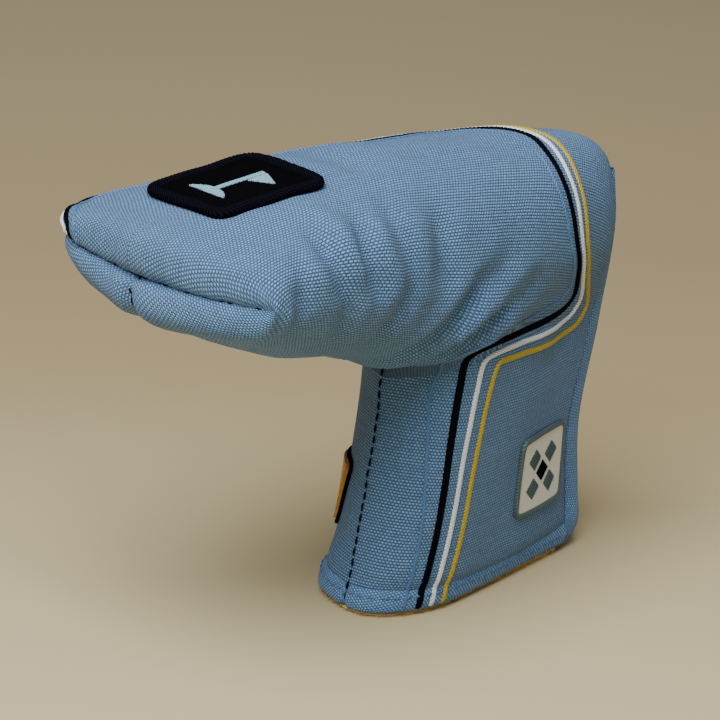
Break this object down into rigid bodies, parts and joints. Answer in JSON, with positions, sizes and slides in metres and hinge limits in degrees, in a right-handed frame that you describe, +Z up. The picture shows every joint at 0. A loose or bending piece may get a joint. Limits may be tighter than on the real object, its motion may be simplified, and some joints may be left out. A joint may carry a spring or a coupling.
{
  "type": "putter head cover",
  "caption": "Padded fabric cover for a blade putter head: a flat-mouthed arm on an open neck sleeve, with a folding magnetic heel flap, stripes and patches.",
  "frame": {"origin": "centre of the neck opening, on the plane that the bottom hem stands on", "axes": "+Z up along the neck; +X from the neck towards the heel edge, so the arm and its toe point along -X; -Y is the side of the closure flap"},
  "size_m": [0.1461, 0.078, 0.1135],
  "materials": {
    "woven_shell": "coarse plain-woven polyester, light steel blue",
    "hem_fabric": "same cloth rolled double",
    "foam": "open-cell foam interlining",
    "plush": "short-pile plush, mustard yellow",
    "blue_thread": "polyester thread",
    "dark_thread": "polyester thread",
    "black_thread": "rayon embroidery thread",
    "white_thread": "rayon embroidery thread",
    "yellow_thread": "rayon embroidery thread",
    "pale_blue_thread": "rayon satin stitch",
    "grey_green_thread": "rayon merrowed edge",
    "black_twill": "embroidered twill",
    "cream_twill": "embroidered twill",
    "mustard_felt": "embroidered felt",
    "pouch_fabric": "thin lining cloth",
    "magnet_steel": "nickel-plated disc"
  },
  "bodies": {
    "cover": {"bottom_hem_far": "hem_fabric", "bottom_hem_near": "hem_fabric", "closure_magnets_far": "magnet_steel", "far_patch_base": "mustard_felt", "far_patch_border": "black_thread", "foam_pad_far": "foam", "foam_pad_near": "foam", "heel_hem_far": "hem_fabric", "heel_hem_near": "hem_fabric", "hem_topstitch_far": "blue_thread", "hem_topstitch_near": "blue_thread", "magnet_pouches_far": "pouch_fabric", "neck_front_seam": "dark_thread", "outer_shell_far": "woven_shell", "outer_shell_near": "woven_shell", "plush_lining_far": "plush", "plush_lining_near": "plush", "stripe_black": "black_thread", "stripe_tonal": "blue_thread", "stripe_white": "white_thread", "stripe_yellow": "yellow_thread", "toe_mouth_seam": "dark_thread", "toe_patch_base": "black_twill", "toe_patch_border": "black_thread", "toe_patch_motif": "pale_blue_thread", "underside_seam": "dark_thread"},
    "closure_flap": {"bottom_hem_flap": "hem_fabric", "closure_magnets_flap": "magnet_steel", "flap_patch_base": "cream_twill", "flap_patch_border": "grey_green_thread", "flap_patch_motif": "black_thread", "foam_pad_flap": "foam", "heel_hem_flap": "hem_fabric", "hem_topstitch_flap": "blue_thread", "magnet_pouches_flap": "pouch_fabric", "outer_shell_flap": "woven_shell", "plush_lining_flap": "plush"}
  },
  "joints": [
    {"name": "flap_fold", "type": "hinge", "parent": "cover", "child": "closure_flap", "pos_m": [-0.02, -0.0155, 0], "axis": [-0.5443, -0.0759, -0.8354], "range_deg": [0, 40]}
  ]
}
